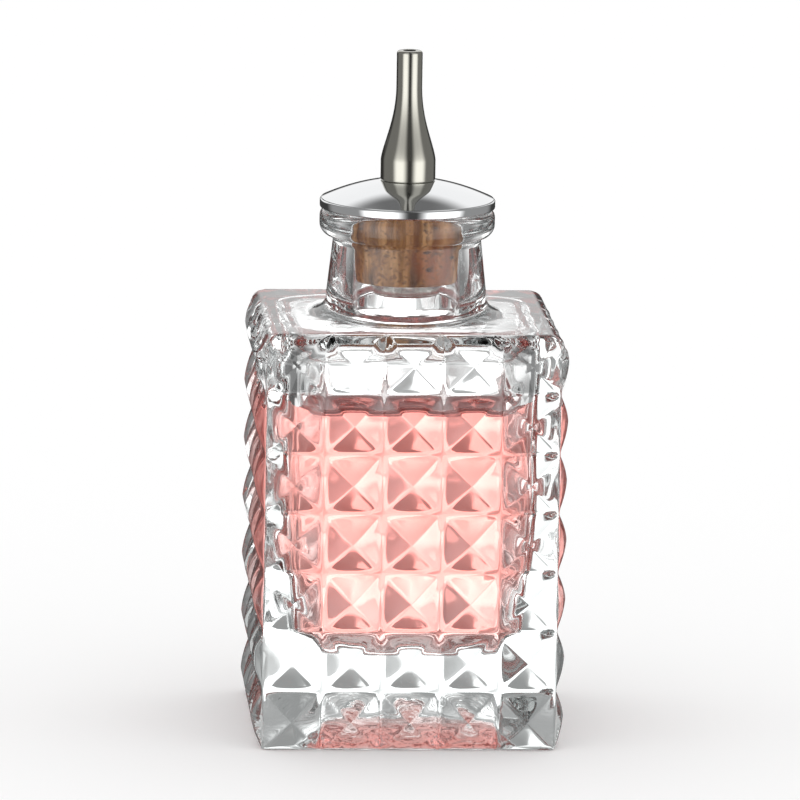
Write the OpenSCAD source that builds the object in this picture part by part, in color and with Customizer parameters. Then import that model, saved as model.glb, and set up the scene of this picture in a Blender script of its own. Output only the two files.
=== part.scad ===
// Square glass bitters bottle with a diamond pattern, part filled, closed by a cork stopper
// that carries a domed metal disc and a slender pouring spout. The base stands on z = 0.

/* [Glass block] */
// Width and depth of the block, measured between the grooves of opposite sides
block_w = 53.4; // [50:0.2:60]
// Height of the block from the base to the flat shoulder
block_h = 76.2; // [68:0.2:100]
// Diamonds across each side
columns = 5; // [3:1:8]
// Diamonds up each side
rows = 7; // [4:1:10]
// How far the point of each diamond stands out
diamond_h = 1.8; // [0.8:0.1:2.4]
// Width of the flat groove between diamonds
groove_w = 0.6; // [0.4:0.1:1.5]
// Radius of the shoulder's rounded edge
shoulder_r = 2.8; // [1.5:0.1:4]
// How far the shoulder's edge stands out past the grooves
shoulder_lip = 0.5; // [0.2:0.1:1]
// Radius of the shoulder's upright corners
shoulder_corner_r = 1.6; // [0.8:0.1:3]
// Slope of the base's lower edge, measured inwards
base_bevel = 0.4; // [0.2:0.1:1]
// Width of the rim that the bottle stands on
foot_w = 3.6; // [3:0.1:8]
// Height of the hollow pushed up under the base, at its middle
push_up_h = 4.4; // [1:0.1:6]
// Radius of the hollow's corners at the rim
push_up_corner_r = 3; // [2:0.5:10]

/* [Cavity] */
// Glass wall at the grooves, beside the widest part of the cavity
wall_t = 3.5; // [3:0.1:6]
// Glass floor under the cavity
floor_t = 16; // [8:0.5:22]
// Glass over the cavity at the shoulder
roof_t = 3.2; // [3:0.1:7]
// How much narrower the cavity is above its floor, each side
cavity_taper = 2.4; // [1:0.1:5]
// Radius of the cavity's upright corners
cavity_corner_r = 9.5; // [3:0.5:10]
// Radius of the rounding round the cavity's floor
floor_edge_r = 6; // [3:0.5:7]
// Radius of the rounding under the cavity's roof
roof_edge_r = 3; // [2:0.5:6]
// Height of the liquid's surface above the base
fill_h = 60.3; // [36:0.1:62.5]

/* [Neck] */
// Height of the neck above the shoulder, to the lip
neck_h = 19.3; // [15:0.1:30]
// Outside radius of the neck under the lip bead
neck_r = 13.8; // [12.8:0.1:15]
// How much wider the neck grows where it meets the shoulder
neck_flare = 4.2; // [2:0.1:6]
// Outside radius of the lip bead
bead_r = 16; // [15.4:0.1:19]
// Height of the lip bead
bead_h = 5.3; // [4.5:0.1:8]
// Rounding of the lip bead's upper edge
bead_edge_r = 0.8; // [0.4:0.1:1.2]
// Radius of the straight bore below the cork's seat
bore_r = 9.95; // [9:0.05:10.6]

/* [Stopper] */
// Length of the cork below the disc
cork_l = 13.4; // [9:0.1:14]
// How much the cork narrows from top to bottom, in radius
cork_taper = 1.1; // [0.6:0.1:1.6]
// Length of the bore's tapered seat, from the lip down
seat_l = 7.5; // [5:0.1:9]
// Clearance between the cork and its seat
cork_gap = 0.15; // [0.1:0.05:0.3]
// Radius of the domed disc
disc_r = 16; // [14:0.1:19]
// Thickness of the disc's rim
disc_rim_h = 1.6; // [1:0.1:3]
// Rise of the dome from the rim to the spout's seat
dome_rise = 3.4; // [2:0.1:5]
// Outside radius of the core tube
tube_r = 2.5; // [2:0.1:3]
// Bore radius of the core tube
tube_bore_r = 1.5; // [1:0.1:1.7]
// Length of the core tube held inside the spout
socket_l = 4; // [2:0.1:6]
// Radius of the round nut under the cork
nut_r = 6.3; // [4.5:0.1:7.5]
// Height of the round nut
nut_h = 2.7; // [2:0.1:5]
// Clearance round the core tube
tube_fit = 0.05; // [0.02:0.01:0.2]

/* [Spout] */
// Radius of the spout's round foot
spout_r = 5.0; // [4.2:0.1:5.6]
// Radius of the spout's straight tip
tip_r = 2.35; // [2:0.05:2.7]
// Radius of the hole at the tip
tip_hole_r = 1.2; // [0.8:0.1:1.4]
// Length of the spout's straight foot
spout_foot_l = 3.8; // [3:0.1:8]
// Length of the curve from the foot to the tip
spout_curve_l = 13.6; // [10:0.1:20]
// Length of the straight tip
tip_l = 6.4; // [4:0.1:10]
// Rounding of the tip's end
tip_edge_r = 0.5; // [0.2:0.1:0.7]

/* [Hidden] */

$fn = 64;
// Clearance between the liquid and the glass
liquid_gap = 0.05;
// How far a cut runs past the face that it opens
past = 1;
// Thickness of the thin slices that the cavity is hulled from
slice_t = 0.05;
// How high up the cavity its taper ends, as a share of its straight height
taper_end = 0.55;
// How early the spout's curve leaves its foot: below 1 it drops early and lengthens the neck
spout_bend = 0.7;

half = block_w / 2;
shoulder_z = block_h - shoulder_r;
lip_z = block_h + neck_h;
bead_z = lip_z - bead_h;
cavity_half = half - wall_t;
cavity_top = block_h - roof_t;
cork_bottom_z = lip_z - cork_l;
nut_z = cork_bottom_z - nut_h;
seat_z = lip_z - seat_l;
// The tapered seat ends in the straight bore, and the cork follows both
cork_slope = cork_taper / cork_l;
cork_top_r = bore_r - cork_gap + cork_slope * seat_l;
dome_z = lip_z + disc_rim_h;
spout_z = dome_z + dome_rise;
curve_z = spout_z + spout_foot_l;
tip_z = curve_z + spout_curve_l;
top_z = tip_z + tip_l;

function turn(p, side) =
    let (a = 90 * side) [p.x * cos(a) - p.y * sin(a), p.x * sin(a) + p.y * cos(a), p.z];

// Both edges of each diamond along a run of them, half a groove in from its pitch
function diamond_edges(count, pitch) =
    [for (i = [0:count - 1], edge = [groove_w / 2, pitch - groove_w / 2]) i * pitch + edge];

// The four sides' diamond edges at one height, drawn in by a share of the half width
function ring(z, inset = 0) =
    let (k = (half - inset) / half)
    [for (side = [0:3], u = diamond_edges(columns, block_w / columns))
        turn([(u - half) * k, -half * k, z], side)];

// A quarter of an ellipse, from angle a to angle b
function quarter(centre, rx, ry, a, b, steps = 10) =
    [for (i = [0:steps])
        let (t = a + (b - a) * i / steps) centre + [rx * cos(t), ry * sin(t)]];

// Radius of the spout along its curve, t from 0 at the foot to 1 at the tip
function spout_curve_r(t) =
    tip_r + (spout_r - tip_r) * (1 + cos(180 * pow(t, spout_bend))) / 2;

// The block as one surface: flat grooves, and four facets rising to each diamond's point
module diamond_block() {
    pitch_x = block_w / columns;
    pitch_z = block_h / rows;
    levels = diamond_edges(rows, pitch_z);
    rings = concat([ring(0, base_bevel)], [for (z = levels) ring(z)], [ring(block_h)]);
    n = len(rings[0]);
    points = [for (side = [0:3], row = [0:rows - 1], col = [0:columns - 1])
        turn([(col + 0.5) * pitch_x - half, -half - diamond_h, (row + 0.5) * pitch_z], side)];
    first = len(points);
    last = first + n * (len(rings) - 1);
    base_centre = last + n;
    top_centre = base_centre + 1;

    function corners(k, j) = let (a = first + k * n, b = a + n, next = (j + 1) % n)
        [a + j, b + j, b + next, a + next];
    function is_diamond(k, j) = k % 2 == 1 && k < len(rings) - 1 && j % (2 * columns) % 2 == 0;
    function point_of(k, j) = let (side = floor(j / (2 * columns)), col = j % (2 * columns) / 2)
        side * rows * columns + (k - 1) / 2 * columns + col;

    faces = [for (k = [0:len(rings) - 2], j = [0:n - 1])
        let (c = corners(k, j))
        each is_diamond(k, j)
            ? [for (i = [0:3]) [c[i], c[(i + 1) % 4], point_of(k, j)]]
            : [c]];
    base = [for (j = [0:n - 1]) [base_centre, first + j, first + (j + 1) % n]];
    top = [for (j = [0:n - 1]) [top_centre, last + (j + 1) % n, last + j]];
    polyhedron(concat(points, [for (r = rings) each r], [[0, 0, 0], [0, 0, block_h]]),
        concat(faces, base, top));
}

// A bar across the block whose two long upper edges are rounded
module rounded_bar(width, length) {
    inner = width - 2 * shoulder_r;
    translate([-inner / 2, -length / 2, 0]) cube([inner, length, shoulder_r]);
    for (x = [-inner / 2, inner / 2])
        translate([x, 0, 0]) rotate([90, 0, 0]) cylinder(r = shoulder_r, h = length, center = true);
}

// A square plate with rounded corners
module corner_plate(width, r, h) {
    side = width - 2 * r;
    translate([-width / 2, -side / 2, 0]) cube([width, side, h]);
    translate([-side / 2, -width / 2, 0]) cube([side, width, h]);
    for (x = [-side / 2, side / 2], y = [-side / 2, side / 2])
        translate([x, y, 0]) cylinder(r = r, h = h);
}

// The smooth shoulder that closes the block over the top row of diamonds
module shoulder() {
    width = block_w + 2 * shoulder_lip;
    translate([0, 0, shoulder_z])
        intersection() {
            corner_plate(width, shoulder_corner_r, shoulder_r);
            rounded_bar(width, width);
            rotate([0, 0, 90]) rounded_bar(width, width);
        }
}

// Outside of the neck: a concave flare, then the bead with its rounded under side and edge
module neck_form() {
    flare_h = neck_h - bead_h;
    under_h = bead_h / 2.2;
    under_w = bead_r - neck_r;
    flare = quarter([neck_r + neck_flare, bead_z], neck_flare, flare_h, 270, 180);
    under = quarter([neck_r, bead_z + under_h], under_w, under_h, 270, 360);
    edge = quarter([bead_r - bead_edge_r, lip_z - bead_edge_r], bead_edge_r, bead_edge_r, 0, 90, 6);
    rotate_extrude()
        polygon(concat([[0, shoulder_z], [neck_r + neck_flare, shoulder_z]], flare, under, edge,
            [[0, lip_z]]));
}

// The bore: the cork's tapered seat at the lip, then straight down into the cavity
module bore() {
    seat_r = cork_top_r + cork_gap;
    lip_edge = quarter([seat_r + bead_edge_r, lip_z - bead_edge_r], bead_edge_r, bead_edge_r, 180, 90, 6);
    rotate_extrude()
        polygon(concat([[0, cavity_top - past], [bore_r, cavity_top - past], [bore_r, seat_z]],
            lip_edge, [[seat_r + bead_edge_r, lip_z + past], [0, lip_z + past]]));
}

// A thin square slice with rounded corners, as a level of the cavity or of the base's hollow
module level(z, side, r) {
    at = side - r;
    for (x = [-at, at], y = [-at, at])
        translate([x, y, z]) cylinder(r = r, h = slice_t, $fn = 32);
}

// The cavity, tapered towards its floor and rounded at floor and roof, less a clearance
module cavity(clear = 0) {
    low = floor_t + clear;
    high = cavity_top - clear - slice_t;
    r = cavity_corner_r - clear;
    wide = cavity_half - clear;
    straight = cavity_top - floor_t - floor_edge_r - roof_edge_r;
    hull() {
        for (a = [0, 30, 60, 90]) {
            foot = floor_edge_r * (1 - sin(a)) * 0.9;
            level(low + floor_edge_r * (1 - cos(a)), wide - cavity_taper - foot, r);
            level(high - roof_edge_r * (1 - sin(a)), wide - roof_edge_r * (1 - cos(a)), r);
        }
        level(floor_t + floor_edge_r + straight * taper_end, wide - 0.2, r);
    }
}

// The hollow pushed up under the base, which narrows to a flat middle
module push_up() {
    side = half - foot_w;
    hull() {
        level(-past, side, push_up_corner_r);
        for (k = [0, 1 / 3, 2 / 3, 1])
            level(push_up_h * k * (2 - k), side * (1 - 0.75 * k), push_up_corner_r * (1 - 0.75 * k));
    }
}

module glass_bottle() color([0.86, 0.91, 0.92, 0.35])
    difference() {
        union() {
            difference() {
                diamond_block();
                translate([-block_w, -block_w, shoulder_z]) cube(2 * block_w);
            }
            shoulder();
            neck_form();
        }
        cavity();
        bore();
        push_up();
    }

module bitters() color([0.93, 0.45, 0.42])
    intersection() {
        cavity(liquid_gap);
        translate([-half, -half, 0]) cube([block_w, block_w, fill_h]);
    }

module cork() color([0.76, 0.54, 0.34])
    difference() {
        translate([0, 0, cork_bottom_z])
            cylinder(r1 = cork_top_r - cork_taper, r2 = cork_top_r, h = cork_l);
        translate([0, 0, cork_bottom_z - past]) cylinder(r = tube_r + tube_fit, h = cork_l + 2 * past);
    }

// The disc: a flat under side on the lip, an upright rim and a shallow spherical dome
module cap_disc() color([0.86, 0.87, 0.88])
    let (
        edge = 0.3,
        dome_steps = 12,
        // The dome's sphere passes through the rim and the spout's seat
        dome_sphere = (disc_r * disc_r - spout_r * spout_r) / (2 * dome_rise),
        dome = [for (i = [0:dome_steps])
            let (r = disc_r - edge - (disc_r - edge - spout_r) * i / dome_steps)
            [r, spout_z - (r * r - spout_r * spout_r) / (2 * dome_sphere)]]
    )
    rotate_extrude()
        polygon(concat([[tube_r + tube_fit, lip_z], [disc_r - edge, lip_z], [disc_r, lip_z + edge],
            [disc_r, dome_z - edge]], dome, [[tube_r + tube_fit, spout_z]]));

module core_tube() color([0.62, 0.62, 0.6])
    translate([0, 0, nut_z])
        difference() {
            cylinder(r = tube_r, h = spout_z + socket_l - nut_z);
            translate([0, 0, -past]) cylinder(r = tube_bore_r, h = spout_z + socket_l - nut_z + 2 * past);
        }

module retaining_nut() color([0.8, 0.8, 0.79])
    let (edge = 0.4)
    rotate_extrude()
        polygon([[tube_r + tube_fit, nut_z], [nut_r - edge, nut_z], [nut_r, nut_z + edge],
            [nut_r, cork_bottom_z], [tube_r + tube_fit, cork_bottom_z]]);

// The spout: a straight foot, a curve like a bottle's shoulder and a straight round tip
module pour_spout() color([0.66, 0.65, 0.62])
    let (
        steps = 18,
        edge = 0.3,
        curve = [for (i = [0:steps]) [spout_curve_r(i / steps), curve_z + spout_curve_l * i / steps]],
        tip = quarter([tip_r - tip_edge_r, top_z - tip_edge_r], tip_edge_r, tip_edge_r, 0, 90, 5),
        socket_r = tube_r + tube_fit,
        socket_z = spout_z + socket_l
    )
    rotate_extrude()
        polygon(concat([[socket_r, spout_z], [spout_r - edge, spout_z], [spout_r, spout_z + edge]],
            curve, tip, [[tip_hole_r, top_z], [tip_hole_r, tip_z], [tube_bore_r, curve_z + spout_curve_l / 2],
            [tube_bore_r, socket_z], [socket_r, socket_z]]));

glass_bottle();
bitters();
cork();
cap_disc();
core_tube();
retaining_nut();
pour_spout();
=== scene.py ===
"""A square bitters bottle in pressed glass, part filled, with a cork stopper and pouring spout."""
import math

import bmesh
import bpy
from mathutils import Euler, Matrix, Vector


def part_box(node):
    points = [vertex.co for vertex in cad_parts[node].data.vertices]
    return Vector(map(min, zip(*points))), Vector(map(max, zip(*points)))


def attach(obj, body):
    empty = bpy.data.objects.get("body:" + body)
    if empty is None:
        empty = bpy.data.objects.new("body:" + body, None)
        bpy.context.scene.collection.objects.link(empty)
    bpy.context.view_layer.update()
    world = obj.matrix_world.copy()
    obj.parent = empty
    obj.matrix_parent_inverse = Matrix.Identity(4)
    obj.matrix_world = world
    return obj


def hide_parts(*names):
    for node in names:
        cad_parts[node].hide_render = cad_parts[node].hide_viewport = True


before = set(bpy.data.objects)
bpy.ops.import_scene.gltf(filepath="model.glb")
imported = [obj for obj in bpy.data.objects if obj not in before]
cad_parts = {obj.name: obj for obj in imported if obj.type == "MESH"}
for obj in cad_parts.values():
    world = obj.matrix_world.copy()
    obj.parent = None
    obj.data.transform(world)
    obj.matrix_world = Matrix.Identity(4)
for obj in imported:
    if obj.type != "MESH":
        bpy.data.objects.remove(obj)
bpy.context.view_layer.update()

MM = 0.001

# Glass block, in millimetres
HALF = 26.7
HEIGHT = 76.2
COLUMNS = 5
ROWS = 7
DIAMOND_H = 1.8
GROOVE_W = 0.6
CORNER_R = 0.5
BASE_R = 0.7
SHOULDER_R = 2.8
SHOULDER_LIP = 0.5
# The diamonds give way to the shoulder's lip from this far under its start to this far over it
LIP_UNDER = 0.5
LIP_OVER = 0.15
FOOT_W = 3.6
PUSH_UP_H = 4.4
PUSH_UP_CORNER_R = 3.0
# The share by which the hollow's rings have drawn in when its middle is closed
PUSH_UP_DRAW = 0.75
# How square the diamonds' rings are, how straight their sides run, and how soft their foot is
RIDGE_SHARPNESS = 7.0
POINT_SLOPE = 0.4
GROOVE_SOFTNESS = 0.12
# The share of its height by which a diamond may fall short
UNEVEN_HEIGHT = 0.1

# Cavity and liquid
WALL = 3.5
FLOOR = 16.0
ROOF = 3.2
CAVITY_TAPER = 2.4
# The taper left at the cavity's bend, and the share of its height where that bend lies
BEND_TAPER = 0.2
BEND_HEIGHT = 0.55
CAVITY_CORNER_R = 8.5
FLOOR_EDGE_R = 6.0
# The share of the floor edge's radius by which the cavity draws in at its floor
FLOOR_EDGE_DRAW = 0.9
ROOF_EDGE_R = 3.0
# The blown wall's swells: height, swells a turn, lean in radians a millimetre up, and start
WALL_WAVES = (
    (0.16, 2, 0.19, 0.6),
    (0.13, 5, -0.13, 2.1),
    (0.10, 9, 0.31, 0.0),
    (0.08, 14, -0.42, 1.3),
)
FILL = 60.3
MENISCUS_RISE = 1.9
MENISCUS_REACH = 1.4
# How far from the wall the rings of the liquid's surface lie, and their least corner radius
SURFACE_RINGS = (0.15, 0.35, 0.6, 1.0, 1.5, 2.2, 3.2, 5.0, 9.0, 15.0)
SURFACE_CORNER_R = 1.5
# No ring of the liquid's wall lies nearer under its rim than this
RIM_CLEAR = 0.2
# The liquid's skin lies this far inside the glass, so that no film of air shows between them
LIQUID_BITE = 0.03

# Neck
LIP_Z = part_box("glass_bottle")[1][2] / MM
NECK_TOP_R = 13.45
NECK_FOOT_R = 14.65
NECK_FLARE = 3.6
NECK_FLARE_H = 3.2
BEAD_R = 16.0
BEAD_H = 5.3
# The height of the bead's curved underside
BEAD_UNDER_H = BEAD_H / 2.2
BEAD_EDGE_R = 1.6
LIP_EDGE_R = 0.8
LIP_GAP = 0.02
BORE_R = 9.95
SEAT_L = 7.5
SEAT_R = 10.715
MOUTH_EDGE_R = 1.6

# Stopper
EDGE_R = 0.3
DISC_R = 16.0
DISC_RIM_H = 1.6
# The rim's rounding turns this many degrees, and the dome starts this far in from its end
DISC_EDGE_TURN = 78
DOME_INSET = 0.05
DISC_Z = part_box("cap_disc")[0][2] / MM
SPOUT_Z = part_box("pour_spout")[0][2] / MM
TOP_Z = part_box("pour_spout")[1][2] / MM
CORK_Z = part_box("cork")[0][2] / MM
NUT_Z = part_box("retaining_nut")[0][2] / MM
CORK_TOP_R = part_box("cork")[1][0] / MM
CORK_TAPER = 1.1
NUT_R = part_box("retaining_nut")[1][0] / MM
NUT_EDGE_R = 0.5
TUBE_R = 2.55
SPOUT_R = 5.0
TIP_R = 2.35
TIP_HOLE_R = 1.2
TIP_CHAMFER = 0.1
TIP_EDGE_R = 0.5
TIP_L = 6.4
SPOUT_BORE_R = 1.5
SPOUT_SOCKET_L = 4.0
SPOUT_FOOT_L = 3.8
SPOUT_BEND = 0.7

# Mesh fineness
FACET_ACROSS = 10
FACET_OUT = 10
TURN_STEPS = 160
LIQUID_STEPS = 400
EDGE_STEPS = 4
FLOOR_SHARES = (0.25, 0.5, 0.75, 0.92)
WELD = 0.002
RIM_WELD = 0.0005

# Camera, fitted to the photograph: degrees, millimetres and pixels of an 800 pixel frame
VIEW_AZ = -3.7
VIEW_EL = 10.0
VIEW_ROLL = 0.9
VIEW_DISTANCE = 1600.0
VIEW_TARGET_Z = 60.0
PIXELS_PER_MM = 5.464
FRAME_PX = 800.0
TARGET_PX = (404.4, 398.7)
SENSOR = 36.0
# In metres
CLIP_END = 20
FLOOR_HALF = 6

# Glass: its ripples fade out over the shoulder, and its hollow is stippled
GLASS_IOR = 1.5
GLASS_COLOUR = (0.985, 0.992, 0.992, 1)
GLASS_GREY = (0.1, 0.16, 0.15, 1)
GLASS_DENSITY = 8.0
RIPPLE_SCALE = 150.0
RIPPLE_LOSS = 0.85
RIPPLE_FADE_Z = ((HEIGHT - 5.0) * MM, (HEIGHT + 1.0) * MM)
STIPPLE_SCALE = 520.0
STIPPLE_TOP_Z = (PUSH_UP_H + 0.3) * MM
GLASS_BUMP = 0.3 * MM

# Liquid
LIQUID_IOR = 1.36
LIQUID_TINT = (0.96, 0.2, 0.1, 1)
LIQUID_DENSITY = 27.0
# The glow is painted light: a red emission in the liquid, which is no lamp, that reddens its darker
# parts
PAINTED_GLOW_COLOUR = (1.0, 0.03, 0.03, 1)
PAINTED_GLOW_STRENGTH = 1.6

# Cork
STREAK_TONES = ((0.34, (0.15, 0.055, 0.015)), (0.5, (0.47, 0.21, 0.07)), (0.64, (0.74, 0.39, 0.16)))
HEART_RED = (0.5, 0.13, 0.045)
FLECK_BROWN = (0.27, 0.105, 0.04)
PORE_BROWN = (0.10, 0.045, 0.03)
STREAK_SCALE = 620.0
HEART_SCALE = 110.0
GRAIN_SCALE = 1500.0
PORE_SCALE = 320.0
PORE_SPREAD_SCALE = 230.0
CORK_BUMP = 0.2 * MM

# Metals
DISC_CHROME = (0.86, 0.87, 0.88)
SPOUT_STEEL = (0.47, 0.46, 0.41)
NUT_CHROME = (0.74, 0.75, 0.71)
TUBE_STEEL = (0.55, 0.55, 0.54)
POLISH_SCALE = 90.0
POLISH_TONE = 0.03

# Strengths of the studio's lights
TABLE_LIGHT = 2.3
WALL_LIGHT = 0.75
SIDE_LIGHT = 1.15
OVERHEAD_LIGHT = 1.3
BOX_LIGHT = 2.1
BETWEEN_LIGHT = 0.3
LEAST_THROUGH = 0.07
LEAST_MIRRORED = 0.05
FLOOR_LIGHT = 1.12
SURROUND = 0.97
FLOOR_COLOUR = (0.95, 0.95, 0.95, 1)


class Nodes:
    """Adds nodes to one tree, with their settings first and then their inputs."""

    def __init__(self, tree):
        self.tree = tree

    def add(self, kind, inputs=None, **settings):
        node = self.tree.nodes.new(kind)
        for name, setting in settings.items():
            setattr(node, name, setting)
        for key, entry in (inputs or {}).items():
            self.feed(node.inputs[key], entry)
        return node

    def feed(self, socket, entry):
        if isinstance(entry, Value):
            self.tree.links.new(entry.socket, socket)
        elif isinstance(entry, bpy.types.NodeSocket):
            self.tree.links.new(entry, socket)
        else:
            socket.default_value = entry

    def value(self, node, output=0):
        return Value(self, node.outputs[output])

    def noise(self, place, scale, detail):
        inputs = {"Vector": place, "Scale": scale, "Detail": detail}
        return self.value(self.add("ShaderNodeTexNoise", inputs))

    def bump(self, strength, distance, height, **under):
        """A Bump node's normal; under may give the Normal of another one below it."""
        inputs = {"Strength": strength, "Distance": distance, "Height": height, **under}
        return self.add("ShaderNodeBump", inputs).outputs[0]

    def ramp(self, factor, stops):
        """A colour ramp with (place, colour) stops."""
        node = self.add("ShaderNodeValToRGB", {"Fac": factor})
        points = node.color_ramp.elements
        while len(points) < len(stops):
            points.new(0.5)
        for point, (place, colour) in zip(points, stops):
            point.position = place
            point.color = (*colour, 1.0)
        return node.outputs["Color"]

    def mix(self, factor, first, second):
        """Two colours mixed by a factor."""
        node = self.add("ShaderNodeMix", data_type="RGBA")
        for socket, entry in ((0, factor), (6, first), (7, second)):
            entry = (*entry, 1.0) if isinstance(entry, tuple) and len(entry) == 3 else entry
            self.feed(node.inputs[socket], entry)
        return node.outputs[2]


class Value:
    """A number socket that takes part in plain arithmetic and adds its own Math nodes."""

    def __init__(self, nodes, socket):
        self.nodes = nodes
        self.socket = socket

    def math(self, operation, *others):
        entries = dict(enumerate((self, *others)))
        node = self.nodes.add("ShaderNodeMath", entries, operation=operation)
        return Value(self.nodes, node.outputs[0])

    def __add__(self, other):
        return self.math("ADD", other)

    def __radd__(self, other):
        return self.math("ADD", other)

    def __sub__(self, other):
        return self.math("SUBTRACT", other)

    def __rsub__(self, other):
        return (self * -1) + other

    def __mul__(self, other):
        return self.math("MULTIPLY", other)

    def __rmul__(self, other):
        return self.math("MULTIPLY", other)

    def __truediv__(self, other):
        return self.math("DIVIDE", other)

    def __neg__(self):
        return self * -1

    def __abs__(self):
        return self.math("ABSOLUTE")

    def __pow__(self, other):
        return self.math("POWER", other)

    def above(self, other):
        return self.math("GREATER_THAN", other)

    def at_most(self, other):
        return self.math("MINIMUM", other)

    def at_least(self, other):
        return self.math("MAXIMUM", other)

    def step(self, low, high):
        """0 below low and 1 above high, smooth between."""
        inputs = {"Value": self, "From Min": low, "From Max": high}
        node = self.nodes.add("ShaderNodeMapRange", inputs, interpolation_type="SMOOTHSTEP")
        return Value(self.nodes, node.outputs[0])


def link_object(mesh, name):
    piece = bpy.data.objects.new(name, mesh)
    bpy.context.scene.collection.objects.link(piece)
    return piece


def even_angles(steps):
    return [2 * math.pi * i / steps for i in range(steps)]


def arc(centre, radius_r, radius_z, start, end, steps):
    """Points along part of an ellipse as (r, z), with angles in degrees."""
    angles = [math.radians(start + (end - start) * i / steps) for i in range(steps + 1)]
    return [(centre[0] + radius_r * math.cos(a), centre[1] + radius_z * math.sin(a)) for a in angles]


def turned(name, outline, node, material):
    """A piece of the stopper, turned on the upright axis from a closed (r, z) outline."""
    bm = bmesh.new()
    angles = even_angles(TURN_STEPS)
    rings = [round_ring(bm, angles, z, r) for r, z in outline]
    join_rings(bm, [*rings, rings[0]])
    bmesh.ops.recalc_face_normals(bm, faces=bm.faces)
    finish_piece(bm, name, "stopper", node, material)


def bridge(bm, lower, upper):
    """Joins two rings of points, either of which may be one point on the axis."""
    n = max(len(lower), len(upper))
    for i in range(n):
        j = (i + 1) % n
        if len(lower) == 1:
            bm.faces.new((lower[0], upper[j], upper[i]))
        elif len(upper) == 1:
            bm.faces.new((lower[i], lower[j], upper[0]))
        else:
            bm.faces.new((lower[i], lower[j], upper[j], upper[i]))


def finish_piece(bm, name, body, node, material, smooth_angle=35):
    """Makes the finished object, smooth up to an angle, and says what it rides on and replaces."""
    mesh = bpy.data.meshes.new(name)
    bm.to_mesh(mesh)
    bm.free()
    piece = link_object(mesh, name)
    mesh.shade_smooth()
    mesh.set_sharp_from_angle(angle=math.radians(smooth_angle))
    mesh.materials.append(material)
    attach(piece, body)
    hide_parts(node)


def new_material(name):
    """A material with its node helper and its Principled shader."""
    material = bpy.data.materials.new(name)
    material.use_nodes = True
    return material, Nodes(material.node_tree), material.node_tree.nodes["Principled BSDF"]


def object_place(nodes):
    return nodes.add("ShaderNodeTexCoord").outputs["Object"]


def fill_volume(material, nodes, shader):
    nodes.feed(material.node_tree.nodes["Material Output"].inputs["Volume"], shader.outputs[0])


def clear_glass():
    """Glass that greys a little where it is thick, with faint ripples and a stippled hollow."""
    material, nodes, shader = new_material("Clear pressed glass")
    place = object_place(nodes)
    shader.inputs["Base Color"].default_value = GLASS_COLOUR
    shader.inputs["Roughness"].default_value = 0.0
    shader.inputs["IOR"].default_value = GLASS_IOR
    shader.inputs["Transmission Weight"].default_value = 1.0
    parts = nodes.add("ShaderNodeSeparateXYZ", {0: place})
    x, y, z = (nodes.value(parts, axis) for axis in "XYZ")
    # Faint ripples, which almost die out over the shoulder
    ripple = nodes.noise(place, RIPPLE_SCALE, 1.0) * (1 - z.step(*RIPPLE_FADE_Z) * RIPPLE_LOSS)
    soft = nodes.bump(0.3, GLASS_BUMP, ripple)
    # The hollow under the base is stippled
    beside = abs(x).at_least(abs(y)).above((HALF - FOOT_W) * MM)
    over = z.above(STIPPLE_TOP_Z)
    stipple = nodes.noise(place, STIPPLE_SCALE, 1.0) * ((1 - beside) * (1 - over))
    nodes.feed(shader.inputs["Normal"], nodes.bump(0.4, GLASS_BUMP, stipple, Normal=soft))
    grey = nodes.add("ShaderNodeVolumeAbsorption", {"Color": GLASS_GREY, "Density": GLASS_DENSITY})
    fill_volume(material, nodes, grey)
    return material


def pink_liquid():
    """Liquid that takes the green and blue out of the light, with a faint painted red glow."""
    material, nodes, shader = new_material("Clear pink liquid")
    shader.inputs["Base Color"].default_value = (1, 1, 1, 1)
    shader.inputs["Roughness"].default_value = 0.0
    shader.inputs["IOR"].default_value = LIQUID_IOR
    shader.inputs["Transmission Weight"].default_value = 1.0
    tint = nodes.add("ShaderNodeVolumeAbsorption", {"Color": LIQUID_TINT, "Density": LIQUID_DENSITY})
    # Painted red glow: the liquid gives off light though it is no lamp, to redden its darker parts
    painted_glow = nodes.add("ShaderNodeEmission", {"Color": PAINTED_GLOW_COLOUR, "Strength": PAINTED_GLOW_STRENGTH})
    both = nodes.add("ShaderNodeAddShader", {0: tint.outputs[0], 1: painted_glow.outputs[0]})
    fill_volume(material, nodes, both)
    return material


def polished_metal(name, colour, roughness, smear):
    """Polished metal with faint uneven polish; smear is how much its roughness wanders."""
    material, nodes, shader = new_material(name)
    shader.inputs["Metallic"].default_value = 1.0
    cloud = nodes.noise(object_place(nodes), POLISH_SCALE, 3.0)
    nodes.feed(shader.inputs["Roughness"], cloud * smear + (roughness - smear / 2))
    darker = tuple(c * (1 - POLISH_TONE) for c in colour)
    lighter = tuple(c * (1 + POLISH_TONE) for c in colour)
    nodes.feed(shader.inputs["Base Color"], nodes.mix(cloud, darker, lighter))
    return material


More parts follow.
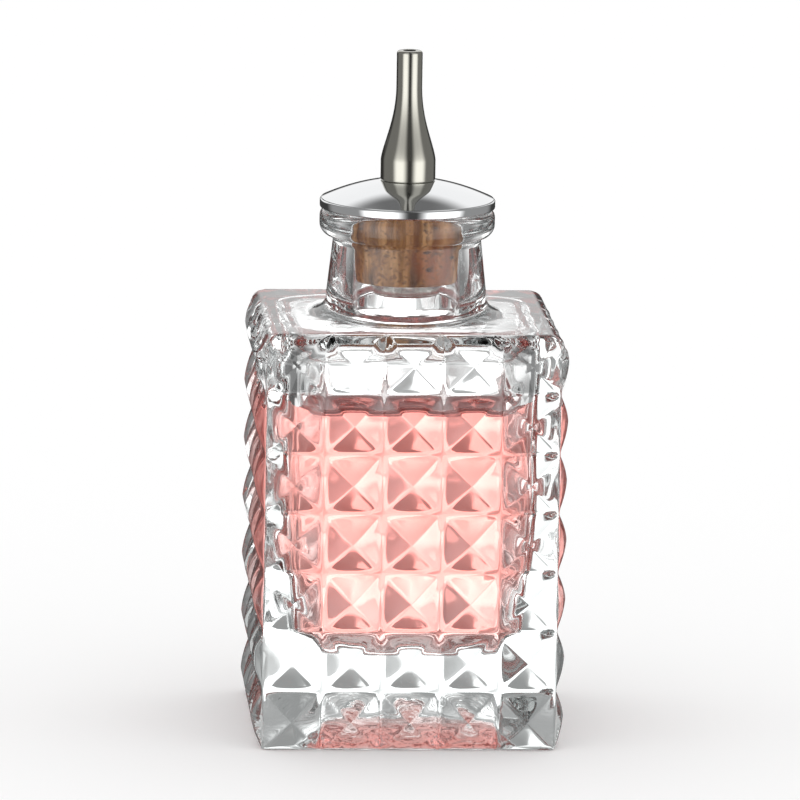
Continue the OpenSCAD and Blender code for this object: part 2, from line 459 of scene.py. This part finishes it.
def natural_cork():
    """Cork with growth streaks, a redder heart, dark flecks and a few oval pores."""
    material, nodes, shader = new_material("Natural cork")
    place = object_place(nodes)

    def stretched(upright):
        """The place with its height scaled: under 1 draws a pattern out upright."""
        inputs = {"Vector": place, "Scale": (1.0, 1.0, upright)}
        return nodes.add("ShaderNodeMapping", inputs).outputs[0]

    streaks = nodes.noise(stretched(0.2), STREAK_SCALE, 4.0)
    colour = nodes.ramp(streaks, STREAK_TONES)
    heart = nodes.noise(stretched(0.35), HEART_SCALE, 2.0).step(0.52, 0.68)
    colour = nodes.mix(heart * 0.7, colour, HEART_RED)
    grain = nodes.noise(place, GRAIN_SCALE, 4.0)
    colour = nodes.mix(grain.step(0.5, 0.66) * 0.8, colour, FLECK_BROWN)
    cells = nodes.add("ShaderNodeTexVoronoi", {"Vector": stretched(1.7), "Scale": PORE_SCALE})
    spread = nodes.noise(place, PORE_SPREAD_SCALE, 1.0).step(0.44, 0.52)
    pores = (1 - nodes.value(cells, "Distance").step(0.14, 0.3)) * spread
    colour = nodes.mix(pores * 0.85, colour, PORE_BROWN)
    nodes.feed(shader.inputs["Base Color"], colour)
    shader.inputs["Roughness"].default_value = 0.75
    height = grain * 0.4 + streaks * 0.4 - pores
    nodes.feed(shader.inputs["Normal"], nodes.bump(0.5, CORK_BUMP, height))
    return material


def diamond_sides(material):
    """The node tree that makes the block's four sides from one facet of one diamond.

    The facet is turned four times about each diamond's point and the diamonds repeat over a
    flat panel. The panel is raised into soft-edged pyramids, bent round the base edge, the
    upright corners and the shoulder's edge, and repeated on the four sides.
    """
    tree = bpy.data.node_groups.new("Diamond sides", "GeometryNodeTree")
    nodes = Nodes(tree)
    lengths = {
        "Half width": HALF, "Height": HEIGHT, "Diamond height": DIAMOND_H,
        "Groove width": GROOVE_W, "Groove softness": GROOVE_SOFTNESS,
        "Corner radius": CORNER_R, "Base radius": BASE_R,
        "Shoulder radius": SHOULDER_R, "Shoulder lip": SHOULDER_LIP,
    }
    counts = {
        "Columns": COLUMNS, "Rows": ROWS,
        "Steps across": FACET_ACROSS, "Steps out": FACET_OUT,
    }
    for name in counts:
        tree.interface.new_socket(name=name, in_out="INPUT", socket_type="NodeSocketInt")
    shares = {
        "Ridge sharpness": RIDGE_SHARPNESS, "Point slope": POINT_SLOPE,
        "Uneven height": UNEVEN_HEIGHT,
    }
    for name in [*lengths, *shares]:
        tree.interface.new_socket(name=name, in_out="INPUT", socket_type="NodeSocketFloat")
    tree.interface.new_socket(name="Sides", in_out="OUTPUT", socket_type="NodeSocketGeometry")
    given = nodes.add("NodeGroupInput").outputs
    size = {name: Value(nodes, given[name]) for name in [*counts, *lengths, *shares]}

    def place():
        position = nodes.add("GeometryNodeInputPosition").outputs[0]
        node = nodes.add("ShaderNodeSeparateXYZ", {0: position})
        return [nodes.value(node, axis) for axis in "XYZ"]

    def point(x, y, z=0.0):
        return nodes.add("ShaderNodeCombineXYZ", {"X": x, "Y": y, "Z": z}).outputs[0]

    def moved(geometry, position):
        inputs = {"Geometry": geometry, "Position": position}
        return nodes.add("GeometryNodeSetPosition", inputs).outputs[0]

    def four_turns(geometry):
        """Four copies of a geometry, each a quarter turn on about Z, as one mesh."""
        index = Value(nodes, nodes.add("GeometryNodeInputIndex").outputs[0])
        turn = nodes.add("FunctionNodeEulerToRotation", {0: point(0.0, 0.0, index * (math.pi / 2))})
        spots = nodes.add("GeometryNodePoints", {"Count": 4}).outputs[0]
        inputs = {"Points": spots, "Instance": geometry, "Rotation": turn.outputs[0]}
        copies = nodes.add("GeometryNodeInstanceOnPoints", inputs).outputs[0]
        return nodes.add("GeometryNodeRealizeInstances", {0: copies}).outputs[0]

    def welded(geometry):
        inputs = {"Geometry": geometry, "Distance": WELD * MM}
        return nodes.add("GeometryNodeMergeByDistance", inputs).outputs[0]

    # One facet: a triangle whose rows of points crowd towards its point, its edges and its foot
    across, out = size["Steps across"], size["Steps out"]
    sheet_inputs = {"Size X": 2.0, "Size Y": 1.0, "Vertices X": across + 1, "Vertices Y": out + 1}
    sheet = nodes.add("GeometryNodeMeshGrid", sheet_inputs).outputs["Mesh"]
    x, y, _ = place()
    reach = (1 - ((y + 0.5) * math.pi).math("COSINE")) / 2
    facet = moved(sheet, point((x * (math.pi / 2)).math("SINE") * reach, reach))

    # The panel: diamonds in columns and rows, with x across and y up from the base
    half, height = size["Half width"], size["Height"]
    pitch_x = half * 2 / size["Columns"]
    pitch_y = height / size["Rows"]
    scale = {"Geometry": four_turns(facet), "Scale": point(pitch_x / 2, pitch_y / 2, 1.0)}
    diamond = nodes.add("GeometryNodeTransform", scale).outputs[0]
    spots_inputs = {
        "Size X": half * 2 - pitch_x, "Size Y": height - pitch_y,
        "Vertices X": size["Columns"], "Vertices Y": size["Rows"],
    }
    spots = nodes.add("GeometryNodeMeshGrid", spots_inputs).outputs["Mesh"]
    inputs = {"Points": spots, "Instance": diamond}
    copies = nodes.add("GeometryNodeInstanceOnPoints", inputs).outputs[0]
    panel = welded(nodes.add("GeometryNodeRealizeInstances", {0: copies}).outputs[0])

    # The relief: each diamond bulges from its point, with ridges that fade towards its foot
    x, y, _ = place()
    y = y + height / 2

    def from_centre(along, pitch):
        """0 at a diamond's centre line and 1 at its edge."""
        return abs((along / pitch).math("FRACT") * 2 - 1)

    across_cell = from_centre(x + half, pitch_x)
    up_cell = from_centre(y, pitch_y)
    sharp, straight_share = size["Ridge sharpness"], size["Point slope"]
    outward = (across_cell ** sharp + up_cell ** sharp) ** (sharp ** -1)
    outward = outward / (1 - size["Groove width"] / pitch_x)
    cell = point(((x + half) / pitch_x).math("FLOOR"), (y / pitch_y).math("FLOOR"))
    chance = nodes.value(nodes.add("ShaderNodeTexWhiteNoise", {"Vector": cell}))
    full_height = size["Diamond height"] * (1 - chance * size["Uneven height"])
    slope = full_height * (1 - outward * (straight_share + outward * (1 - straight_share)))
    soft = size["Groove softness"]
    relief = (slope + (slope * slope + soft * soft).math("SQRT")) / 2
    shoulder_z = height - size["Shoulder radius"]
    under_edge = y.step(shoulder_z - LIP_UNDER * MM, shoulder_z + LIP_OVER * MM)
    relief = relief * (1 - under_edge) + size["Shoulder lip"] * under_edge

    # The bends: inwards over the base's edge and the shoulder, then round the upright corners
    base_r, shoulder_r = size["Base radius"], size["Shoulder radius"]
    corner_r = size["Corner radius"]
    under = (base_r - y).at_least(0.0) / base_r * (math.pi / 2)
    over = (y - shoulder_z).at_least(0.0) / shoulder_r * (math.pi / 2)
    inset = base_r * (1 - under.math("COSINE")) + shoulder_r * (1 - over.math("COSINE"))
    level = y.at_least(base_r).at_most(shoulder_z)
    level = level - base_r * under.math("SINE") + shoulder_r * over.math("SINE")
    straight = half - corner_r
    round_corner = (abs(x) - straight).at_least(0.0) / corner_r * (math.pi / 4)
    side = x.math("SIGN")
    shrink = (half - inset) / half
    along = (abs(x).at_most(straight) + corner_r * round_corner.math("SINE")) * shrink
    away = (straight + corner_r * round_corner.math("COSINE")) * shrink
    x_out = side * (along + relief * round_corner.math("SINE"))
    y_out = -(away + relief * round_corner.math("COSINE"))
    sides = welded(four_turns(moved(panel, point(x_out, y_out, level))))

    smooth = nodes.add("GeometryNodeSetShadeSmooth", {"Geometry": sides}).outputs[0]
    coated = nodes.add("GeometryNodeSetMaterial", {"Geometry": smooth, "Material": material})
    out = nodes.add("NodeGroupOutput")
    nodes.feed(out.inputs["Sides"], coated.outputs[0])

    sizes = {**counts, **{name: length * MM for name, length in lengths.items()}, **shares}
    return tree, sizes


def evaluated_mesh(tree, sizes, name):
    """The plain mesh that a node tree makes with these sizes."""
    carrier = link_object(bpy.data.meshes.new(name), name)
    modifier = carrier.modifiers.new(name, "NODES")
    modifier.node_group = tree
    for item in tree.interface.items_tree:
        if item.item_type == "SOCKET" and item.in_out == "INPUT":
            modifier[item.identifier] = sizes[item.name]
    depsgraph = bpy.context.evaluated_depsgraph_get()
    mesh = bpy.data.meshes.new_from_object(carrier.evaluated_get(depsgraph))
    bpy.data.objects.remove(carrier)
    return mesh


def rounded_square_r(angle, half, corner_r):
    """How far a rounded square's edge lies from its centre, in a direction."""
    c, s = abs(math.cos(angle)), abs(math.sin(angle))
    c, s = max(c, s), min(c, s)
    if half * s / c <= half - corner_r:
        return half / c
    inner = half - corner_r
    b = inner * (c + s)
    return b + math.sqrt(max(b * b - (2 * inner * inner - corner_r * corner_r), 0.0))


def cavity_levels(grow=0.0):
    """(z, half width, corner radius) up the cavity from the edge of its floor to its roof."""
    full = HALF - WALL
    low, high = FLOOR + FLOOR_EDGE_R, HEIGHT - ROOF - ROOF_EDGE_R
    bend = low + (high - low) * BEND_HEIGHT
    levels = []
    edge_steps, wall_steps = 12, 15
    for i in range(edge_steps + 1):
        a = math.radians(90 * i / edge_steps)
        draw = CAVITY_TAPER + FLOOR_EDGE_R * (1 - math.sin(a)) * FLOOR_EDGE_DRAW
        levels.append((FLOOR + FLOOR_EDGE_R * (1 - math.cos(a)), full - draw))
    for i in range(1, wall_steps):
        z = low + (high - low) * i / wall_steps
        below = min((z - low) / (bend - low), 1.0)
        over = max(0.0, (z - bend) / (high - bend))
        taper = CAVITY_TAPER - (CAVITY_TAPER - BEND_TAPER) * below * (2 - below) - BEND_TAPER * over
        levels.append((z, full - taper))
    for i in range(edge_steps + 1):
        a = math.radians(90 * i / edge_steps)
        levels.append((high + ROOF_EDGE_R * math.sin(a), full - ROOF_EDGE_R * (1 - math.cos(a))))
    return [(z, half + grow, CAVITY_CORNER_R + grow) for z, half in levels]


def wall_wave(angle, z):
    """How far the blown inner wall swells in or out at a place, in millimetres."""
    wave = 0.0
    for height, swells, lean, start in WALL_WAVES:
        wave += height * math.sin(swells * angle + z * lean + start)
    return wave


def cavity_ring(bm, angles, z, half, corner_r):
    """One level of the cavity, with the uneven wall of blown glass."""
    ring = square_ring(bm, angles, z, half, corner_r)
    for angle, vert in zip(angles, ring):
        wave = wall_wave(angle, z) * MM
        vert.co.x += wave * math.cos(angle)
        vert.co.y += wave * math.sin(angle)
    return ring


def square_ring(bm, angles, z, half, corner_r):
    ring = []
    for a in angles:
        r = rounded_square_r(a, half, corner_r)
        ring.append(bm.verts.new((r * math.cos(a) * MM, r * math.sin(a) * MM, z * MM)))
    return ring


def round_ring(bm, angles, z, r):
    return [bm.verts.new((r * math.cos(a) * MM, r * math.sin(a) * MM, z * MM)) for a in angles]


def shrunk_ring(bm, ring, share):
    """A copy of a ring, drawn in level towards the axis."""
    return [bm.verts.new((v.co.x * share, v.co.y * share, v.co.z)) for v in ring]


def blend_rings(bm, first, last, steps):
    """Rings between two given ones, both of them included."""
    rings = [first]
    for i in range(1, steps):
        k = i / steps
        rings.append([bm.verts.new(a.co.lerp(b.co, k)) for a, b in zip(first, last)])
    return [*rings, last]


def join_rings(bm, rings):
    for lower, upper in zip(rings, rings[1:]):
        bridge(bm, lower, upper)


def neck_outline():
    """(r, z) from the neck's flare up over the bead and down the bore to the cavity's roof."""
    bead_z = LIP_Z - BEAD_H
    flare_z = HEIGHT + NECK_FLARE_H
    flare_r = NECK_FOOT_R + NECK_FLARE
    flare = arc((flare_r, flare_z), NECK_FLARE, NECK_FLARE_H, 270, 180, steps=16)
    steps = 10
    for i in range(1, steps + 1):
        k = i / steps
        r = NECK_FOOT_R + (NECK_TOP_R - NECK_FOOT_R) * k
        flare.append((r, flare_z + (bead_z - flare_z) * k))
    bead_centre = (NECK_TOP_R, bead_z + BEAD_UNDER_H)
    bead = arc(bead_centre, BEAD_R - NECK_TOP_R, BEAD_UNDER_H, 270, 360, steps=10)
    top_z = LIP_Z - LIP_GAP
    edge_centre = (BEAD_R - BEAD_EDGE_R, top_z - BEAD_EDGE_R)
    edge = arc(edge_centre, BEAD_EDGE_R, BEAD_EDGE_R, 0, 90, steps=8)
    lip_centre = (SEAT_R + LIP_EDGE_R, top_z - LIP_EDGE_R)
    lip = arc(lip_centre, LIP_EDGE_R, LIP_EDGE_R, 90, 180, steps=6)
    seat = [(BORE_R, LIP_Z - SEAT_L)]
    mouth_centre = (BORE_R + MOUTH_EDGE_R, HEIGHT - ROOF + MOUTH_EDGE_R)
    mouth = arc(mouth_centre, MOUTH_EDGE_R, MOUTH_EDGE_R, 180, 270, steps=6)
    return flare[:-1] + bead + edge + lip + seat + mouth


def make_glass(material):
    """The bottle: its diamond sides, then base, shoulder, neck, bore and cavity as rings."""
    tree, sizes = diamond_sides(material)
    mesh = evaluated_mesh(tree, sizes, "glass_bottle_pressed")
    bm = bmesh.new()
    bm.from_mesh(mesh)
    open_edges = [e for e in bm.edges if e.is_boundary]
    middle = HEIGHT * MM / 2

    def rim(is_top):
        verts = {v for e in open_edges for v in e.verts if (v.co.z > middle) == is_top}
        return sorted(verts, key=lambda v: math.atan2(v.co.y, v.co.x))

    top, foot = rim(True), rim(False)
    angles = [math.atan2(v.co.y, v.co.x) for v in top]

    neck = [round_ring(bm, angles, z, r) for r, z in neck_outline()]
    cavity = [cavity_ring(bm, angles, *level) for level in reversed(cavity_levels())]
    shoulder = blend_rings(bm, top, neck[0], steps=5)
    roof = blend_rings(bm, neck[-1], cavity[0], steps=3)
    floor = [shrunk_ring(bm, cavity[-1], share) for share in reversed(FLOOR_SHARES)]
    pole = [bm.verts.new((0, 0, FLOOR * MM))]
    join_rings(bm, shoulder + neck[1:] + roof[1:] + cavity[1:] + floor + [pole])

    foot_angles = [math.atan2(v.co.y, v.co.x) for v in foot]
    rim_half = HALF - FOOT_W
    push_up = []
    steps = 24
    for i in range(steps + 1):
        k = i / steps
        inwards = 1 - PUSH_UP_DRAW * k
        level = (PUSH_UP_H * k * (2 - k), rim_half * inwards, PUSH_UP_CORNER_R * inwards)
        push_up.append(square_ring(bm, foot_angles, *level))
    push_up.append([bm.verts.new((0, 0, PUSH_UP_H * MM))])
    join_rings(bm, [foot] + push_up)
    bmesh.ops.remove_doubles(bm, verts=bm.verts, dist=RIM_WELD * MM)
    bmesh.ops.recalc_face_normals(bm, faces=bm.faces)
    bpy.data.meshes.remove(mesh)
    finish_piece(bm, "glass_bottle_pressed", "bottle", "glass_bottle", material, 180)


def make_liquid(material):
    """The liquid: the cavity's own form up to the fill line, with a raised rim at the wall."""
    bm = bmesh.new()
    angles = even_angles(LIQUID_STEPS)
    levels = cavity_levels(LIQUID_BITE)
    edge_z = FILL + MENISCUS_RISE
    walls = [level for level in levels if level[0] < edge_z - RIM_CLEAR]
    half, corner = walls[-1][1], walls[-1][2]
    rings = [cavity_ring(bm, angles, *level) for level in walls]
    rings.append(cavity_ring(bm, angles, edge_z, half, corner))
    for d in SURFACE_RINGS:
        z = FILL + MENISCUS_RISE * math.exp(-d / MENISCUS_REACH)
        rings.append(cavity_ring(bm, angles, z, half - d, max(corner - d, SURFACE_CORNER_R)))
    rings.append([bm.verts.new((0, 0, FILL * MM))])
    floor_z = levels[0][0] - LIQUID_BITE
    for vert in rings[0]:
        vert.co.z = floor_z * MM
    floor = [shrunk_ring(bm, rings[0], share) for share in FLOOR_SHARES]
    pole = [bm.verts.new((0, 0, floor_z * MM))]
    join_rings(bm, [pole] + floor + rings)
    bmesh.ops.recalc_face_normals(bm, faces=bm.faces)
    finish_piece(bm, "bitters_liquid", "bottle", "bitters", material, 60)


def lower_edge(r, z, edge_r=EDGE_R, steps=EDGE_STEPS):
    """The rounded lower edge of a turned piece, from its foot out to its side."""
    return arc((r - edge_r, z + edge_r), edge_r, edge_r, 270, 360, steps)


def spout_outline():
    """A short straight foot, a long waisted curve and a straight tip, bored through."""
    curve_z = SPOUT_Z + SPOUT_FOOT_L
    tip_z = TOP_Z - TIP_L
    socket_z = SPOUT_Z + SPOUT_SOCKET_L
    outline = [(TUBE_R, SPOUT_Z)] + lower_edge(SPOUT_R, SPOUT_Z)
    steps = 36
    for i in range(steps + 1):
        t = i / steps
        r = TIP_R + (SPOUT_R - TIP_R) * (1 + math.cos(math.pi * t ** SPOUT_BEND)) / 2
        outline.append((r, curve_z + (tip_z - curve_z) * t))
    outline += arc((TIP_R - TIP_EDGE_R, TOP_Z - TIP_EDGE_R), TIP_EDGE_R, TIP_EDGE_R, 0, 90, steps=6)
    outline += [(TIP_HOLE_R + TIP_CHAMFER, TOP_Z), (TIP_HOLE_R, TOP_Z - TIP_CHAMFER)]
    outline += [(TIP_HOLE_R, tip_z)]
    outline += [(SPOUT_BORE_R, (curve_z + tip_z) / 2), (SPOUT_BORE_R, socket_z), (TUBE_R, socket_z)]
    return outline


def disc_outline():
    """A flat foot, a low upright rim and a dome that is part of a sphere."""
    rim_top = DISC_Z + DISC_RIM_H
    sphere = (DISC_R ** 2 - SPOUT_R ** 2) / (2 * (SPOUT_Z - rim_top))
    outline = [(TUBE_R, DISC_Z)] + lower_edge(DISC_R, DISC_Z)
    outline += arc((DISC_R - EDGE_R, rim_top - EDGE_R), EDGE_R, EDGE_R, 0, DISC_EDGE_TURN, steps=5)
    steps = 24
    start = outline[-1][0] - DOME_INSET
    for i in range(steps + 1):
        r = start + (SPOUT_R - start) * i / steps
        outline.append((r, SPOUT_Z - (r * r - SPOUT_R ** 2) / (2 * sphere)))
    return outline + [(TUBE_R, SPOUT_Z)]


def nut_outline():
    """A plain round nut up to the cork, with its lower edge rounded."""
    outline = [(TUBE_R, NUT_Z)] + lower_edge(NUT_R, NUT_Z, NUT_EDGE_R, steps=6)
    return outline + [(NUT_R, CORK_Z), (TUBE_R, CORK_Z)]


def cork_outline():
    """A taper that widens up to the lip."""
    height = LIP_Z - CORK_Z
    bottom_r = CORK_TOP_R - CORK_TAPER
    outline = [(TUBE_R, CORK_Z)] + lower_edge(bottom_r, CORK_Z)
    steps = 30
    for i in range(1, steps + 1):
        z = CORK_Z + EDGE_R + (height - EDGE_R) * i / steps
        outline.append((bottom_r + CORK_TAPER * (z - CORK_Z) / height, z))
    return outline + [(TUBE_R, LIP_Z)]


def make_camera():
    """The camera at the photograph's angle."""
    az, el = math.radians(VIEW_AZ), math.radians(VIEW_EL)
    back = Vector((math.sin(az) * math.cos(el), -math.cos(az) * math.cos(el), math.sin(el)))
    camera_data = bpy.data.cameras.new("camera")
    camera = bpy.data.objects.new("camera", camera_data)
    bpy.context.scene.collection.objects.link(camera)
    camera.location = Vector((0, 0, VIEW_TARGET_Z * MM)) + back * (VIEW_DISTANCE * MM)
    upright = back.to_track_quat("Z", "Y")
    roll = Euler((0, 0, math.radians(VIEW_ROLL))).to_quaternion()
    camera.rotation_euler = (upright @ roll).to_euler()
    camera_data.sensor_width = SENSOR
    camera_data.lens = PIXELS_PER_MM * VIEW_DISTANCE / FRAME_PX * SENSOR
    camera_data.shift_x = (FRAME_PX / 2 - TARGET_PX[0]) / FRAME_PX
    camera_data.shift_y = (TARGET_PX[1] - FRAME_PX / 2) / FRAME_PX
    camera_data.clip_end = CLIP_END
    bpy.context.scene.camera = camera


def make_floor():
    """A plain pale floor that only the camera and matt surfaces see."""
    bm = bmesh.new()
    bmesh.ops.create_grid(bm, x_segments=1, y_segments=1, size=FLOOR_HALF)
    mesh = bpy.data.meshes.new("floor")
    bm.to_mesh(mesh)
    bm.free()
    floor = link_object(mesh, "floor")
    material = bpy.data.materials.new("Pale floor")
    material.use_nodes = True
    shader = material.node_tree.nodes["Principled BSDF"]
    shader.inputs["Base Color"].default_value = FLOOR_COLOUR
    shader.inputs["Roughness"].default_value = 1.0
    shader.inputs["Specular IOR Level"].default_value = 0.0
    mesh.materials.append(material)
    # Glass and metal see the studio's own light instead of the floor
    floor.visible_glossy = False
    floor.visible_transmission = False


def fading(angle, near, far, share=1.0):
    """1 up to the near angle and less by the share beyond the far one, smooth between."""
    return 1 - angle.step(near, far) * share


def light_through_glass(turn, away, lift):
    """The light that glass passes.

    Ahead is a lit table top, brightest some way below the horizon and dimmer to the left, with
    a grey wall over it. More light comes from both sides, from behind the camera and from
    overhead, and a little from everywhere else.
    """
    ahead = fading(away, 10.0, 26.0, 0.6) - away.step(26.0, 60.0) * 0.28
    ahead = ahead * (0.75 + turn.step(VIEW_AZ - 14.0, VIEW_AZ + 6.0) * 0.25)
    ahead = ahead * fading(-turn, 18.0, 34.0, 0.4)
    table = TABLE_LIGHT - (-lift).step(11.0, 17.0) * 0.4 + (-lift).step(19.0, 27.0) * 1.4
    table = table * ahead * fading(lift, 3.0, 11.0) * fading(-lift, 37.0, 46.0, 0.97)
    wall = WALL_LIGHT - lift.step(6.0, 12.0) * 0.27 + lift.step(18.0, 40.0) * 0.55
    wall = wall * fading(away, 25.0, 60.0, 0.65) * lift.step(-5.0, 0.0)
    sides = away.step(78.0, 86.0) * SIDE_LIGHT * fading(away, 114.0, 148.0, 0.75)
    sides = sides * fading(lift, -4.0, 14.0, 0.6) * fading(-lift, 20.0, 45.0, 0.85)
    rear = away.step(160.0, 172.0) * fading(lift, 0.0, 9.0, 0.6) * fading(-lift, 30.0, 42.0)
    overhead = lift.step(62.0, 74.0) * OVERHEAD_LIGHT
    light = table.at_least(wall).at_least(sides).at_least(rear)
    return light.at_least(overhead).at_least(LEAST_THROUGH)


def light_on_metal(x, away, lift):
    """The light that polished surfaces mirror.

    Two soft boxes stand by the camera with a dark gap between them, a dim light fills the
    space between them and the back, and white stands behind, darker high up.
    """
    boxes = away.step(98.0, 128.0) * BOX_LIGHT * fading(away, 148.0, 176.0, 0.97)
    boxes = boxes * fading(lift, -6.0, 30.0, 0.65) * fading(-lift, 25.0, 50.0, 0.7)
    between = away.step(35.0, 60.0) * fading(away, 150.0, 172.0, 0.85) * BETWEEN_LIGHT
    high_up = lift.step(36.0, 49.0) * (0.84 - abs(x - 0.04).step(0.1, 0.4) * 0.3)
    behind = lift.step(2.0, 8.0) * (1 - high_up) * fading(away, 25.0, 45.0, 0.9)
    return boxes.at_least(between).at_least(behind).at_least(LEAST_MIRRORED)


def make_studio():
    """The studio: light by direction, one layout for glass and another for polished surfaces.

    Directions are in degrees to the right, away from straight ahead, and above the horizon.
    The floor and the cork are lit evenly, and the camera sees a plain pale surround.
    """
    world = bpy.data.worlds.new("Studio")
    bpy.context.scene.world = world
    world.use_nodes = True
    nodes = Nodes(world.node_tree)
    direction = nodes.add("ShaderNodeTexCoord").outputs["Generated"]
    parts = nodes.add("ShaderNodeSeparateXYZ", {0: direction})
    x, y, z = (nodes.value(parts, axis) for axis in "XYZ")
    turn = x.math("ARCTAN2", y) * (180 / math.pi)
    away = abs(turn - VIEW_AZ)
    lift = z.math("ARCSINE") * (180 / math.pi)
    through = light_through_glass(turn, away, lift)
    mirrored = light_on_metal(x, away, lift)
    path = nodes.add("ShaderNodeLightPath")
    seen = nodes.value(path, "Is Camera Ray")
    spread = nodes.value(path, "Diffuse Depth").at_most(1.0)
    polished = nodes.value(path, "Is Reflection Ray")
    light = through * (1 - polished) + mirrored * polished
    strength = light * (1 - seen) * (1 - spread)
    strength = strength + seen * SURROUND + spread * (1 - seen) * FLOOR_LIGHT
    background = world.node_tree.nodes["Background"]
    nodes.feed(background.inputs["Color"], (1.0, 1.0, 1.0, 1.0))
    nodes.feed(background.inputs["Strength"], strength)


def make_looks():
    """Plain colours, and enough bounces for light to cross both walls and the liquid."""
    scene = bpy.context.scene
    scene.view_settings.view_transform = "Standard"
    scene.cycles.max_bounces = 32
    scene.cycles.transmission_bounces = 32
    scene.cycles.glossy_bounces = 12
    scene.cycles.transparent_max_bounces = 32


make_camera()
make_floor()
make_studio()
make_looks()

make_glass(clear_glass())
make_liquid(pink_liquid())
turned("cork_stopper", cork_outline(), "cork", natural_cork())
disc_finish = polished_metal("Mirror polished disc", DISC_CHROME, roughness=0.05, smear=0.03)
turned("cap_disc_polished", disc_outline(), "cap_disc", disc_finish)
spout_finish = polished_metal("Polished warm grey steel", SPOUT_STEEL, roughness=0.14, smear=0.05)
turned("pour_spout_turned", spout_outline(), "pour_spout", spout_finish)
nut_finish = polished_metal("Bright nut", NUT_CHROME, roughness=0.12, smear=0.04)
turned("retaining_nut_round", nut_outline(), "retaining_nut", nut_finish)
tube_finish = polished_metal("Plain steel tube", TUBE_STEEL, roughness=0.3, smear=0.1)
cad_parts["core_tube"].data.materials.clear()
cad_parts["core_tube"].data.materials.append(tube_finish)
